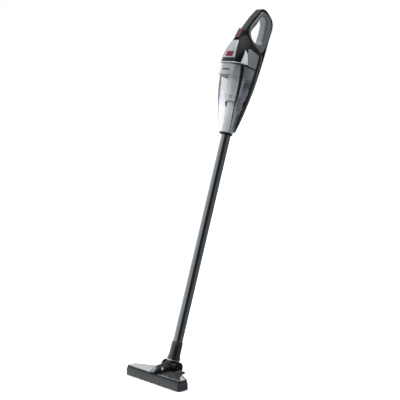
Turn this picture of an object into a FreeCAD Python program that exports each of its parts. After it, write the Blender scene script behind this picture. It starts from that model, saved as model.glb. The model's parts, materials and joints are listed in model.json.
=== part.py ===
import FreeCAD, Part
import math
import os

V = FreeCAD.Vector

# Floor head, mm. The origin is on the floor under the middle of the head, and its front faces -Y.
HEAD_WIDTH = 242.0
HEAD_FRONT = -50.0
HEAD_END_DEPTH = 38.0
HEAD_TOP = 29.3
SHOULDER = (44.0, 24.0)        # where the sloping rear edge meets the tail
TAIL = (33.0, 46.0)            # rear corner of the tail that carries the elbow
CORNER_R = 7.0
SOLE_BOTTOM = 1.6
SOLE_THICK = 3.0
BUMPER_WALL = 4.0
BUMPER_SHOULDER = 18.0         # height where the bumper's face starts to slope
BUMPER_TOP = 25.0
BUMPER_SLOPE = 3.0             # how far the sloped face leans in
COVER_WALL = 2.4
TOP_PLATE_INSET = 8.0
TOP_PLATE_THICK = 1.6
FIT = 0.15                     # gap round pieces that are let into a casing
RUN = 0.4                      # gap between casings that move past each other
SHAFT_FIT = 0.04               # radial play of pins and shafts
HEAD_OUTLINE = [
    (-HEAD_WIDTH / 2, HEAD_FRONT), (HEAD_WIDTH / 2, HEAD_FRONT),
    (HEAD_WIDTH / 2, HEAD_FRONT + HEAD_END_DEPTH), SHOULDER, TAIL,
    (-TAIL[0], TAIL[1]), (-SHOULDER[0], SHOULDER[1]), (-HEAD_WIDTH / 2, HEAD_FRONT + HEAD_END_DEPTH),
]

# Suction mouth, brush and wheels
MOUTH_X = 96.0
MOUTH_Y = (-36.0, -19.0)
BRUSH_Y = -40.5
BRUSH_TRAVEL = 3.5
WHEEL_R = 7.0
WHEEL_WIDTH = 8.0
WHEEL_X = 62.0
WHEEL_Y = -1.0
AXLE_R = 1.5

# Foot pedal: across the head, front to rear, and its pin
PEDAL_X = (40.0, 60.0)
PEDAL_Y = (13.0, 27.0)
PEDAL_PIN = (16.0, 27.0)

# Hump from the head's front rim to the elbow: distance from the origin, half width, top; and its inlay
BRIDGE_SECTIONS = [(-46.5, 9.5, 33.0), (-42.5, 13.0, 41.5), (-35.0, 14.5, 47.0), (-17.0, 15.5, 50.5),
                   (5.0, 17.0, 51.5), (14.0, 17.5, 49.0)]
INLAY_AT = (0, -40.5, 40.5)
INLAY_NORMAL = (0, -0.62, 0.78)

# Elbow and neck. Everything above the pivot is laid out upright along the wand's axis, then leant back.
PIVOT_Y = 30.0
PIVOT_Z = 36.0
LEAN = 18.0
BARREL_R = 15.5
BARREL_HALF = 23.5
CHEEK_T = 6.0
CHEEK_R = 17.5
CRADLE_FRONT = PIVOT_Y - BARREL_R - 5
PIN_R = 5.0
STUB_R = 14.0
AIR_R = 11.0
BELL_BOTTOM = 20.0
BELL_R = 20.0
NECK_R = 17.0
STUB_TOP = 44.0
NECK_TOP = 74.0

# Wand
WAND_R = 15.0
WAND_WALL = 1.2
WAND_VISIBLE = 638.0
WAND_INSERT = 40.0

# Hand-held unit: height above the dust cup's mouth, half width, front, rear, squareness of the section
CUP_MOUTH = NECK_TOP + WAND_VISIBLE
SECTIONS = [
    (0.0, 19.5, -21.0, 17.5, 2.0),
    (21.0, 26.0, -33.5, 23.5, 2.4),
    (63.0, 33.5, -46.0, 27.5, 2.8),
    (108.0, 41.0, -57.5, 34.5, 3.0),
    (150.0, 46.0, -64.0, 39.5, 3.0),
    (210.0, 48.0, -66.0, 44.0, 3.0),
    (240.0, 46.5, -62.5, 48.0, 3.0),
    (266.0, 40.0, -57.0, 51.0, 2.8),
    (288.0, 29.0, -51.0, 52.0, 2.6),
    (306.0, 18.0, -45.5, 52.0, 2.4),
]
SHELL_WALL = 2.8
PANEL_T = 1.5
CUP_WALL = 2.0
CUP_BOTTOM = 6.0
CUP_TOP = 209.2
SHELL_BOTTOM = 209.6
CUP_SEAM = [(-10.0, 0.0), (-32.0, 95.0), (-47.0, 210.0)]
DUCT_TOP = 78.0
SPINE_HALF = 14.0
SPINE_ROUND = 4.0
BACK_COVER = 1.4              # how far the black back cover stands proud
FILTER_R = 26.0
FILTER_Y = -11.0
FILTER_BOTTOM = 104.0
FILTER_STEP = 120.0
FRAME_BOTTOM = 174.0
FRAME_TOP = 206.4

# Handle, in the plane of symmetry: distance behind the wand's axis, height above the cup's mouth
RING_OUTLINE = [(20, 397), (4.7, 376.2), (-10, 351), (-18.8, 320), (-8.6, 303), (11.4, 288), (35, 275),
                (54, 275), (65, 296), (70, 330), (71.5, 356), (65, 378), (44, 393)]
HOLE_OUTLINE = [(22, 384), (12, 366), (0, 341), (-11, 322), (-6, 309.5), (9, 299.5), (27, 296),
                (41, 302), (46, 320), (47, 345), (45, 366), (35, 380)]
BAR_OUTLINE = [(-53, 268), (-42, 306), (-24, 339), (-9, 368), (5, 390), (19, 405.5), (34, 406), (54, 396.5),
               (71, 383.5), (78, 364), (77, 342), (74.6, 318), (73.4, 290), (70.5, 250), (66.3, SHELL_BOTTOM)]
SPINE_BACK = [(66.3, 210), (62.3, 177), (57.5, 145), (50, 108), (39.5, 63), (24.5, 14)]
COVER_EDGE = [(22, 262), (20, 250), (14, 205), (12, 182), (9, 150), (8, 125), (6, 76), (8, 25), (9, 14)]
RING_HALF = 16.5
RING_ROUND = 3.0
HOLE_ROUND = 2.5
FRAME_HALF = 14.0
FRAME_ROUND = 4.0
RING_FLANGE = 8.0
SLIDER_BOTTOM = 292.0
SLIDER_LENGTH = 34.0
SLIDER_TRAVEL = 8.0
SLIDER_TILT = 16.5
SLIDER_Y = -46.6

# Panels on the casing: distance behind the wand's axis (or across), height above the cup's mouth
SIDE_PANEL = [(-22, 211.5), (13.5, 211.5), (19, 255), (-3, 261), (-19, 265), (-29, 262), (-29, 246)]
SIDE_WEDGE = [(-49, 213.5), (-23.5, 213.5), (-30.5, 246), (-38.5, 257)]
FRONT_PANEL = [(-24.6, 226), (24.6, 226), (24.6, 233), (13, 284), (-13, 284), (-24.6, 233)]

# Buttons, grille and charging socket
BUTTON_HALF = 14.0
BUTTON_HEIGHTS = (230.0, 246.0)
GRILLE_HALF = 7.0
GRILLE_Y = 66.2
GRILLE_HEIGHTS = (238.0, 262.0)
SOCKET_R = 5.5
PLUG_R = 2.8
SOCKET_HEIGHT = 224.0
SOCKET_Y = (56.0, 67.0)

# Motor and battery
MOTOR_Y = -19.0
MOTOR_R = 19.0
MOTOR_BOTTOM = 234.0
MOTOR_TOP = 256.0
FAN_R = 19.5
SHAFT_R = 1.6
CELL_R = 9.0
CELL_LENGTH = 65.0

BUILT = {}
FORMS = {}


def save(name, shape):
    """Keeps a finished piece under its node's name."""
    BUILT[name] = shape


def box(x, y, z):
    return Part.makeBox(x[1] - x[0], y[1] - y[0], z[1] - z[0], V(x[0], y[0], z[0]))


def rod(radius, start, end):
    start, end = V(*start), V(*end)
    return Part.makeCylinder(radius, (end - start).Length, start, end - start)


def ring(outer, inner, z, y=0.0):
    """Upright tube between two heights."""
    return rod(outer, (0, y, z[0]), (0, y, z[1])).cut(rod(inner, (0, y, z[0] - 1), (0, y, z[1] + 1)))


def mirrored(shape):
    return shape.mirror(V(0, 0, 0), V(1, 0, 0))


def pair(shape):
    return Part.makeCompound([shape, mirrored(shape)])


def inset(points, distance):
    """Moves each side of a closed counter-clockwise outline inwards and returns the new corners."""
    result = []
    count = len(points)
    for i in range(count):
        before, here, after = (V(*points[j % count], 0) for j in (i - 1, i, i + 1))
        first = (here - before).normalize()
        second = (after - here).normalize()
        bisector = V(-first.y - second.y, first.x + second.x, 0)
        scale = distance / (1 + first.dot(second))
        result.append((here.x + bisector.x * scale, here.y + bisector.y * scale))
    return result


def rounded_wire(points, radius, place):
    """Closed outline with each corner rounded; place turns a flat point into a space point."""
    edges, ends = [], []
    count = len(points)
    for i in range(count):
        before, here, after = (V(*points[j % count], 0) for j in (i - 1, i, i + 1))
        back = (before - here).normalize()
        on = (after - here).normalize()
        half = math.acos(max(-1.0, min(1.0, back.dot(on)))) / 2
        reach = radius / math.tan(half)
        middle = (back + on).normalize() * (radius / math.sin(half) - radius)
        ends.append([here + back * reach, here + middle, here + on * reach])
    for i in range(count):
        start, middle, end = (place(p.x, p.y) for p in ends[i])
        edges.append(Part.Arc(start, middle, end).toShape())
        edges.append(Part.LineSegment(end, place(*ends[(i + 1) % count][0][:2])).toShape())
    return Part.Wire(edges)


def spline_wire(points, place):
    curve = Part.BSplineCurve()
    curve.interpolate(Points=[place(*p) for p in points], PeriodicFlag=True)
    return Part.Wire(curve.toShape())


def side_prism(wire, half):
    """Carries an outline in the plane of symmetry out to both sides."""
    face = Part.Face(wire)
    face.translate(V(-half, 0, 0))
    return face.extrude(V(2 * half, 0, 0))


def side_point(y, height):
    return V(0, y, height + CUP_MOUTH)


# --- floor head -------------------------------------------------------------------------------

def head_wire(distance, z):
    radius = max(CORNER_R - distance, 1.5)
    return rounded_wire(inset(HEAD_OUTLINE, distance), radius, lambda x, y: V(x, y, z))


def head_prism(distance, z):
    return Part.Face(head_wire(distance, z[0])).extrude(V(0, 0, z[1] - z[0]))


def head_taper(low, high, z):
    return Part.makeLoft([head_wire(low, z[0]), head_wire(high, z[1])], True, True)


def barrel_space(clearance, half):
    return rod(BARREL_R + clearance, (-half, PIVOT_Y, PIVOT_Z), (half, PIVOT_Y, PIVOT_Z))


def neck_notch():
    """Room behind and above the barrel, so that the neck can lie back."""
    half = BARREL_HALF + RUN
    low = SOLE_BOTTOM + SOLE_THICK
    behind = box((-half, half), (PIVOT_Y, TAIL[1] + 20), (low, 90))
    above = box((-half, half), (PIVOT_Y - BARREL_R - RUN, TAIL[1] + 20), (PIVOT_Z, 90))
    return behind.fuse(above).fuse(barrel_space(RUN, half))


def wheel_boss(side):
    """Two lugs on the sole that hold one wheel's axle."""
    x = side * WHEEL_X
    gap = WHEEL_WIDTH / 2 + RUN
    lugs = []
    for near in (x - gap - 4, x + gap):
        lugs.append(box((near, near + 4), (WHEEL_Y - 4, WHEEL_Y + 4), (SOLE_BOTTOM, WHEEL_R + 4)))
    return lugs[0].fuse(lugs[1]).cut(rod(AXLE_R, (x - 20, WHEEL_Y, WHEEL_R), (x + 20, WHEEL_Y, WHEEL_R)))


def wheel_pocket(side):
    x = side * WHEEL_X
    gap = WHEEL_WIDTH / 2 + RUN
    reach = WHEEL_R + 1
    return box((x - gap, x + gap), (WHEEL_Y - reach, WHEEL_Y + reach), (0, SOLE_BOTTOM + SOLE_THICK + 1))


def sole_plate():
    top = SOLE_BOTTOM + SOLE_THICK
    plate = head_prism(BUMPER_WALL + FIT, (SOLE_BOTTOM, top))
    plate = plate.cut(box((-MOUTH_X, MOUTH_X), MOUTH_Y, (0, 20)))
    plate = plate.cut(box((-MOUTH_X, MOUTH_X), (BRUSH_Y - 3, BRUSH_Y + 3), (0, 20)))
    glide = box((-20, 20), (-9, 9), (0, SOLE_BOTTOM)).fuse(box((-20, 20), (-9, 9), (SOLE_BOTTOM, top)))
    plate = plate.fuse(glide)
    for side in (-1, 1):
        plate = plate.cut(wheel_pocket(side)).fuse(wheel_boss(side))
    return plate.removeSplitter()


def lint_strips():
    front = box((-MOUTH_X, -24), (MOUTH_Y[1] + 2, MOUTH_Y[1] + 6), (0.3, SOLE_BOTTOM))
    return pair(front)


def front_bumper():
    """Band round the front and the ends, upright below and sloped above."""
    outer = head_prism(0, (SOLE_BOTTOM, BUMPER_SHOULDER))
    outer = outer.fuse(head_taper(0, BUMPER_SLOPE, (BUMPER_SHOULDER, BUMPER_TOP)))
    inner = head_prism(BUMPER_WALL, (0, BUMPER_TOP + 1))
    band = outer.cut(inner)
    rear = HEAD_FRONT + HEAD_END_DEPTH + 4
    return band.cut(box((-HEAD_WIDTH, HEAD_WIDTH), (rear, 100), (-1, 60))).removeSplitter()


def bridge_form(shrink=0.0):
    """Beetle-backed hump from the front rim to the elbow: half-round sections along Y."""
    wires = []
    for y, half, top in BRIDGE_SECTIONS:
        half, top, base = half - shrink, top - shrink, HEAD_TOP - 1.5
        crown = [V(-half, y, base), V(-half * 0.82, y, base + (top - base) * 0.68), V(0, y, top),
                 V(half * 0.82, y, base + (top - base) * 0.68), V(half, y, base)]
        curve = Part.BSplineCurve()
        curve.interpolate(crown)
        wires.append(Part.Wire([curve.toShape(), Part.LineSegment(crown[-1], crown[0]).toShape()]))
    return Part.makeLoft(wires, True, False)


def inlay_form():
    """Teardrop let into the hump's nose, cut square to the slope."""
    normal = V(*INLAY_NORMAL).normalize()
    along = V(0, normal.z, -normal.y)
    points = [(0.0, 13.5), (6.5, 5.0), (8.5, -2.5), (5.5, -8.0), (0.0, -9.6)]
    points += [(-u, v) for u, v in points[3:0:-1]]
    wire = spline_wire(points, lambda u, v: V(*INLAY_AT) - normal * 9 + V(u, 0, 0) + along * v)
    return Part.Face(wire).extrude(normal * 30)


def neck_bridge():
    form = bridge_form().cut(bridge_form(COVER_WALL).cut(box((-40, 40), (9, 40), (0, 80))))
    form = form.cut(barrel_space(RUN, 60)).cut(inlay_form().cut(bridge_form(PANEL_T)))
    for side in (-1, 1):
        form = form.cut(cap_form(side, FIT))
    return form


def cap_form(side, grow=0.0):
    return rod(4.2 + grow, (side * 9.0, -19.0, 39.0), (side * 14.8, -19.0, 40.5))


def bridge_inlay():
    nose = box((-20, 20), (-60, -20), (20, 60))
    return bridge_form().common(inlay_form()).cut(bridge_form(PANEL_T)).common(nose)


def head_cover():
    """Upper casing: rim, ceiling and skirt, hollow beneath, with the cheeks that carry the elbow."""
    low = SOLE_BOTTOM + SOLE_THICK
    wall = BUMPER_WALL + FIT
    rim = head_taper(BUMPER_SLOPE, BUMPER_SLOPE + 0.8, (BUMPER_TOP, HEAD_TOP))
    shape = head_prism(wall, (low, BUMPER_TOP)).fuse(rim)
    shape = shape.cut(head_prism(wall + COVER_WALL, (low - 1, BUMPER_TOP)))
    shape = shape.cut(head_prism(TOP_PLATE_INSET, (HEAD_TOP - TOP_PLATE_THICK, HEAD_TOP + 1)))
    for side in (-1, 1):
        inner = side * (BARREL_HALF + RUN)
        x = sorted((inner, inner + side * CHEEK_T))
        block = box(x, (PIVOT_Y - CHEEK_R, PIVOT_Y + 14), (low, PIVOT_Z))
        disc = rod(CHEEK_R, (x[0], PIVOT_Y, PIVOT_Z), (x[1], PIVOT_Y, PIVOT_Z))
        shape = shape.fuse(block).fuse(disc)
    front = CRADLE_FRONT
    half = BARREL_HALF + 1
    shape = shape.fuse(box((-half, half), (front, PIVOT_Y), (BUMPER_TOP - 8, HEAD_TOP)))
    shape = shape.cut(neck_notch())
    shape = shape.cut(rod(PIN_R, (-60, PIVOT_Y, PIVOT_Z), (60, PIVOT_Y, PIVOT_Z)))
    shape = shape.cut(box((-AIR_R, AIR_R), (front - 2, PIVOT_Y - 8), (low, PIVOT_Z - 4)))
    return shape.cut(bridge_form(-FIT)).cut(pedal_space()).removeSplitter()


def top_plate():
    plate = head_prism(TOP_PLATE_INSET + FIT, (HEAD_TOP - TOP_PLATE_THICK, HEAD_TOP + 0.4))
    plate = plate.cut(box((-18, 18), (HEAD_FRONT - 1, 20), (0, 60)))
    half = BARREL_HALF + CHEEK_T + RUN + 2.2
    plate = plate.cut(box((-half, half), (CRADLE_FRONT - FIT, 100), (0, 60)))
    return plate.cut(pedal_space())


def pedal_space():
    return box((PEDAL_X[0] - 1, PEDAL_X[1] + 1), (PEDAL_Y[0] - 1.5, PEDAL_Y[1] + 12), (HEAD_TOP - 7.5, 60))


def foot_pedal():
    """Hooked rocker at the rear edge, to the right of the elbow."""
    front, rear = PEDAL_Y
    outline = [(front, 25.0), (rear, 25.0), (rear + 3, 31.0), (rear - 4, 34.0), (front, 31.0)]
    wire = rounded_wire(outline, 1.6, lambda y, z: V(PEDAL_X[0], y, z))
    body = Part.Face(wire).extrude(V(PEDAL_X[1] - PEDAL_X[0], 0, 0))
    return body.cut(rod(AXLE_R + SHAFT_FIT, (0, *PEDAL_PIN), (99, *PEDAL_PIN)))


def pedal_pin():
    return rod(AXLE_R, (PEDAL_X[0] - 1, *PEDAL_PIN), (PEDAL_X[1] + 1, *PEDAL_PIN))


def brush():
    carrier = box((-MOUTH_X + 1, MOUTH_X - 1), (BRUSH_Y - 2.2, BRUSH_Y + 2.2), (9.5, 14.0))
    bristles = box((-MOUTH_X + 2, MOUTH_X - 2), (BRUSH_Y - 1.2, BRUSH_Y + 1.2), (BRUSH_TRAVEL + 0.5, 9.5))
    return carrier, bristles


def wheel():
    x = WHEEL_X
    half = WHEEL_WIDTH / 2
    disc = rod(WHEEL_R, (x - half, WHEEL_Y, WHEEL_R), (x + half, WHEEL_Y, WHEEL_R))
    return disc.cut(rod(AXLE_R + SHAFT_FIT, (x - 20, WHEEL_Y, WHEEL_R), (x + 20, WHEEL_Y, WHEEL_R)))


def wheel_axles():
    reach = WHEEL_WIDTH / 2 + RUN + 4
    return pair(rod(AXLE_R, (WHEEL_X - reach, WHEEL_Y, WHEEL_R), (WHEEL_X + reach, WHEEL_Y, WHEEL_R)))


def pivot_pins():
    inner = BARREL_HALF - 4
    outer = BARREL_HALF + RUN + CHEEK_T
    return pair(rod(PIN_R, (inner, PIVOT_Y, PIVOT_Z), (outer, PIVOT_Y, PIVOT_Z)))


def pivot_caps():
    outer = BARREL_HALF + RUN + CHEEK_T
    return pair(rod(6.4, (outer, PIVOT_Y, PIVOT_Z), (outer + 1.6, PIVOT_Y, PIVOT_Z)))


def sole_screws():
    heads = [rod(2.6, (x, 14.0, SOLE_BOTTOM - 1.0), (x, 14.0, SOLE_BOTTOM)) for x in (-34.0, 34.0)]
    heads += [rod(2.6, (x, -12.0, SOLE_BOTTOM - 1.0), (x, -12.0, SOLE_BOTTOM)) for x in (-99.0, 99.0)]
    return Part.makeCompound(heads)


def build_floor_head():
    save("sole_plate", sole_plate())
    save("lint_strips", lint_strips())
    save("sole_screws", sole_screws())
    save("front_bumper", front_bumper())
    save("head_cover", head_cover())
    save("top_plate", top_plate())
    save("neck_bridge", neck_bridge())
    save("bridge_inlay", bridge_inlay())
    caps = [cap_form(side).cut(bridge_form(COVER_WALL)) for side in (-1, 1)]
    save("bridge_caps", Part.makeCompound(caps))
    save("pivot_pins", pivot_pins())
    save("pivot_caps", pivot_caps())
    save("foot_pedal", foot_pedal())
    save("pedal_pin", pedal_pin())
    carrier, bristles = brush()
    save("brush_carrier", carrier)
    save("brush_bristles", bristles)
    save("wheel_right", wheel())
    save("wheel_left", mirrored(wheel()))
    save("wheel_axles", wheel_axles())


# --- elbow, neck and wand, upright about the pivot ---------------------------------------------

def elbow():
    barrel = rod(BARREL_R, (-BARREL_HALF, 0, 0), (BARREL_HALF, 0, 0))
    stub = rod(STUB_R, (0, 0, 0), (0, 0, STUB_TOP - 1))
    shape = barrel.fuse(stub)
    shape = shape.cut(rod(AIR_R, (0, 0, 0), (0, 0, STUB_TOP)))
    shape = shape.cut(rod(BARREL_R - 3, (-18, 0, 0), (18, 0, 0)))
    window = box((-AIR_R, AIR_R), (-BARREL_R - 1, -4), (-BARREL_R, 0))
    return shape.cut(window).cut(rod(PIN_R + SHAFT_FIT, (-60, 0, 0), (60, 0, 0)))


def swivel_ring():
    return ring(BELL_R - 0.6, STUB_R, (BELL_BOTTOM - 3.4, BELL_BOTTOM - RUN)).cut(
        rod(BARREL_R, (-60, 0, 0), (60, 0, 0)))


def neck_socket():
    """Bell over the elbow's stub, drawn in to the socket that takes the wand."""
    bore, socket = STUB_R + SHAFT_FIT, WAND_R + 0.1
    profile = [(bore, BELL_BOTTOM), (BELL_R, BELL_BOTTOM), (BELL_R, BELL_BOTTOM + 5),
               (NECK_R + 0.6, BELL_BOTTOM + 14), (NECK_R, NECK_TOP), (socket, NECK_TOP), (socket, STUB_TOP), (bore, STUB_TOP)]
    profile = [V(r, 0, z) for r, z in profile]
    face = Part.Face(Part.makePolygon(profile + profile[:1]))
    shape = face.revolve(V(0, 0, 0), V(0, 0, 1), 360)
    return shape.cut(rod(4.2, (0, WAND_R, NECK_TOP - 12), (0, 30, NECK_TOP - 12)))


def neck_latch():
    z = NECK_TOP - 12
    return rod(4.0, (0, WAND_R + 1.5, z), (0, NECK_R + 1.8, z))


def wand_tube():
    top = CUP_MOUTH + WAND_INSERT
    return ring(WAND_R, WAND_R - WAND_WALL, (STUB_TOP + 0.5, top))


def build_stick():
    save("elbow", elbow())
    save("swivel_ring", swivel_ring())
    save("neck_socket", neck_socket())
    save("neck_latch", neck_latch())
    save("wand_tube", wand_tube())


# --- dust cup ------------------------------------------------------------------------------------

def section_wire(row, distance):
    height, half, front, rear, power = row
    reach_x = half - distance
    reach_y = (rear - front) / 2 - distance
    middle = (rear + front) / 2
    points = []
    for i in range(20):
        turn = 2 * math.pi * i / 20
        c, s = math.cos(turn), math.sin(turn)
        x = math.copysign(abs(c) ** (2 / power), c) * reach_x
        y = math.copysign(abs(s) ** (2 / power), s) * reach_y + middle
        points.append((x, y))
    return spline_wire(points, lambda x, y: V(x, y, height + CUP_MOUTH))


def body_form(distance):
    """The hand-held unit's outer form, drawn in by a wall thickness."""
    if distance not in FORMS:
        FORMS[distance] = Part.makeLoft([section_wire(row, distance) for row in SECTIONS], True, False)
    return FORMS[distance]


def slab(low, high, y=(-200, 200), half=200):
    """Everything between two heights above the cup's mouth."""
    return box((-half, half), y, (low + CUP_MOUTH, high + CUP_MOUTH))


def skin(outer, inner, low, high):
    """Wall of the body form between two depths and two heights."""
    return body_form(outer).common(slab(low, high)).cut(body_form(inner))


def seam_block():
    """Everything in front of the seam between the cup's clear front and its smoked back."""
    low, high = CUP_SEAM[0], CUP_SEAM[-1]
    points = [(-150, low[1] - 20), (low[0], low[1] - 20)] + CUP_SEAM + [(-150, high[1])]
    wire = Part.makePolygon([side_point(*p) for p in points + points[:1]])
    return side_prism(wire, 100)


def side_curve(points):
    """Smooth curve through points of the plane of symmetry."""
    curve = Part.BSplineCurve()
    curve.interpolate([side_point(*p) for p in points])
    return curve.toShape()


def side_chain(points):
    """Straight edges from point to point of the plane of symmetry."""
    return [Part.LineSegment(side_point(*a), side_point(*b)).toShape() for a, b in zip(points, points[1:])]


def spine_form():
    """Raised rib down the back, from the handle to the cup's mouth."""
    low, high = SPINE_BACK[-1], SPINE_BACK[0]
    chain = [low, (10, low[1]), (20, high[1]), high]
    solid = side_prism(Part.Wire([side_curve(SPINE_BACK)] + side_chain(chain)), SPINE_HALF)
    rear = [e for e in solid.Edges if e.Length > 150 and e.CenterOfMass.y > 40]
    return solid.makeFillet(SPINE_ROUND, rear)


def back_cover(low, high):
    """Black cover over the back of the body, wrapped round from the spine to a swept edge."""
    chain = [COVER_EDGE[-1], (150, COVER_EDGE[-1][1]), (150, COVER_EDGE[0][1]), COVER_EDGE[0]]
    block = side_prism(Part.Wire([side_curve(COVER_EDGE)] + side_chain(chain)), 100)
    return body_form(-BACK_COVER).common(slab(low, high)).common(block)


def wand_button_space(grow):
    z = CUP_MOUTH + 20
    return box((-6 - grow, 6 + grow), (WAND_R + 1.5, 60), (z - 7 - grow, z + 7 + grow))


def wand_button():
    z = CUP_MOUTH + 20
    return box((-6, 6), (WAND_R + 3.8, 31.0), (z - 7, z + 7))


def cup_walls():
    wall = skin(0, CUP_WALL, CUP_BOTTOM, CUP_TOP)
    floor = body_form(0).common(slab(CUP_BOTTOM, CUP_BOTTOM + 2))
    wall = wall.fuse(floor).cut(rod(WAND_R + 2.0, (0, 0, CUP_MOUTH - 1), (0, 0, CUP_MOUTH + 60)))
    wall = wall.cut(wand_button_space(FIT)).removeSplitter()
    return wall.common(seam_block()), wall.cut(seam_block())


def mouth_collar():
    collar = body_form(0).common(slab(0.5, CUP_BOTTOM))
    return collar.cut(rod(WAND_R + 0.05, (0, 0, CUP_MOUTH - 1), (0, 0, CUP_MOUTH + 60)))


def inlet_sleeve():
    z = CUP_MOUTH
    sleeve = ring(WAND_R + 2.0, WAND_R + 0.1, (z + CUP_BOTTOM, z + WAND_INSERT + 1))
    stop = ring(WAND_R + 2.0, WAND_R - 2.0, (z + WAND_INSERT + 1, z + WAND_INSERT + 4))
    return sleeve.fuse(stop).cut(wand_button_space(FIT)).removeSplitter()


def inlet_duct():
    z = CUP_MOUTH
    duct = ring(WAND_R + 3.5, WAND_R - 2.0, (z + WAND_INSERT + 4, z + DUCT_TOP))
    lug = box((-12, 12), (WAND_R + 2.6, WAND_R + 7), (z + DUCT_TOP - 8, z + DUCT_TOP + 4))
    knuckle = box((-8.3, 8.3), (WAND_R - 1, WAND_R + 9), (z + DUCT_TOP, z + DUCT_TOP + 9))
    pin = rod(1.0, (-12, *flap_axis()), (12, *flap_axis()))
    return duct.fuse(lug.cut(knuckle)).cut(pin).removeSplitter()


def flap_axis():
    return (WAND_R + 4.8, CUP_MOUTH + DUCT_TOP + 2.4)


def inlet_flap():
    y, z = flap_axis()
    disc = rod(WAND_R, (0, 0, CUP_MOUTH + DUCT_TOP + 0.4), (0, 0, CUP_MOUTH + DUCT_TOP + 1.8))
    arm = box((-7.5, 7.5), (WAND_R - 5, y), (CUP_MOUTH + DUCT_TOP + 0.6, CUP_MOUTH + DUCT_TOP + 1.8))
    knuckle = rod(1.9, (-7.5, y, z + 0.4), (7.5, y, z + 0.4))
    return disc.fuse(arm).fuse(knuckle).cut(rod(1.0 + SHAFT_FIT, (-20, y, z), (20, y, z))).removeSplitter()


def flap_pin():
    return rod(1.0, (-12, *flap_axis()), (12, *flap_axis()))


def filter_frame():
    skirt = skin(CUP_WALL + FIT, CUP_WALL + 2.2, FRAME_BOTTOM, FRAME_TOP)
    deck = body_form(CUP_WALL + FIT).common(slab(FRAME_TOP - 3, FRAME_TOP))
    y = FILTER_Y
    opening = rod(FILTER_R - 2, (0, y, CUP_MOUTH + FRAME_BOTTOM), (0, y, CUP_MOUTH + FRAME_TOP + 1))
    return skirt.fuse(deck).cut(opening).removeSplitter()


def filter_basket():
    y, z = FILTER_Y, CUP_MOUTH
    wide = ring(FILTER_R, FILTER_R - 1.5, (z + FILTER_STEP, z + FRAME_TOP - 3), y)
    step = ring(FILTER_R, FILTER_R - 7, (z + FILTER_STEP - 1.5, z + FILTER_STEP), y)
    narrow = ring(FILTER_R - 5.5, FILTER_R - 7, (z + FILTER_BOTTOM, z + FILTER_STEP), y)
    base = rod(FILTER_R - 5.5, (0, y, z + FILTER_BOTTOM - 1.5), (0, y, z + FILTER_BOTTOM))
    return wide.fuse([step, narrow, base]).removeSplitter()


def pleated_filter():
    """Star-folded cloth round a hollow core, standing in the basket."""
    y, count = FILTER_Y, 28
    points = []
    for i in range(2 * count):
        radius = FILTER_R - (2.2 if i % 2 else 7.0)
        turn = math.pi * i / count
        points.append(V(radius * math.cos(turn), y + radius * math.sin(turn), CUP_MOUTH + FILTER_STEP + 0.3))
    face = Part.Face(Part.makePolygon(points + points[:1]))
    cloth = face.extrude(V(0, 0, FRAME_TOP - 4 - FILTER_STEP))
    core = rod(FILTER_R - 10.5, (0, y, CUP_MOUTH + FILTER_STEP), (0, y, CUP_MOUTH + FRAME_TOP))
    return cloth.cut(core)


def cup_seal():
    y = FILTER_Y
    seal = ring(FILTER_R + 3, FILTER_R - 1, (CUP_MOUTH + FRAME_TOP, CUP_MOUTH + FRAME_TOP + 2.4), y)
    return seal


def cup_spine():
    low = SPINE_BACK[-1][1]
    spine = spine_form().common(slab(low, CUP_TOP)).fuse(back_cover(low, CUP_TOP))
    return spine.cut(body_form(0)).cut(wand_button_space(FIT)).removeSplitter()


def build_dust_cup():
    front, rear = cup_walls()
    save("cup_front", front)
    save("cup_rear", rear)
    save("cup_spine", cup_spine())
    save("mouth_collar", mouth_collar())
    save("inlet_sleeve", inlet_sleeve())
    save("inlet_duct", inlet_duct())
    save("inlet_flap", inlet_flap())
    save("flap_pin", flap_pin())
    save("wand_button", wand_button())
    save("filter_frame", filter_frame())
    save("filter_basket", filter_basket())
    save("pleated_filter", pleated_filter())
    save("cup_seal", cup_seal())


# --- motor body and handle -----------------------------------------------------------------------

def ring_prism(grow, half):
    return side_prism(spline_wire(inset(RING_OUTLINE, -grow), side_point), half)


def hole_prism(half):
    return side_prism(spline_wire(HOLE_OUTLINE, side_point), half)


def rims_of(solid, half):
    """Long edges of a loop at its two side faces."""
    return [e for e in solid.Edges if e.Length > 100 and abs(abs(e.CenterOfMass.x) - half) < 0.1]


def handle_ring():
    """Closed grip loop, rounded outside and round the finger hole."""
    outer = ring_prism(0, RING_HALF)
    outer = outer.makeFillet(RING_ROUND, rims_of(outer, RING_HALF))
    hole = hole_prism(2 * RING_HALF)
    loop = outer.cut(hole)
    rims = [e for e in rims_of(loop, RING_HALF) if e.BoundBox.ZLength < hole.BoundBox.ZLength + RING_ROUND]
    return loop.makeFillet(HOLE_ROUND, rims)


def frame_form():
    """Black frame right round the grip loop, in one with the motor housing."""
    base = [BAR_OUTLINE[-1], (36, SHELL_BOTTOM), (36, 257), (-30, 268), BAR_OUTLINE[0]]
    solid = side_prism(Part.Wire([side_curve(BAR_OUTLINE)] + side_chain(base)), FRAME_HALF)
    return solid.makeFillet(FRAME_ROUND, rims_of(solid, FRAME_HALF))


def slider_space(grow, extra=0.0):
    """Room for the power slider, tilted to follow the front bar."""
    block = box((-10.5 - grow, 10.5 + grow), (-4.2 - grow, 2.2), (-grow - extra, SLIDER_LENGTH + grow))
    block.rotate(V(0, 0, 0), V(1, 0, 0), -SLIDER_TILT)
    block.translate(V(0, SLIDER_Y, CUP_MOUTH + SLIDER_BOTTOM))
    return block


def power_slider():
    return slider_space(0)


def side_region(points, side):
    """Prism over one side of the body, from an outline seen from the side."""
    face = Part.Face(Part.makePolygon([side_point(*p) for p in points + points[:1]]))
    face.translate(V(side * 6, 0, 0))
    return face.extrude(V(side * 80, 0, 0))


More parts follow.
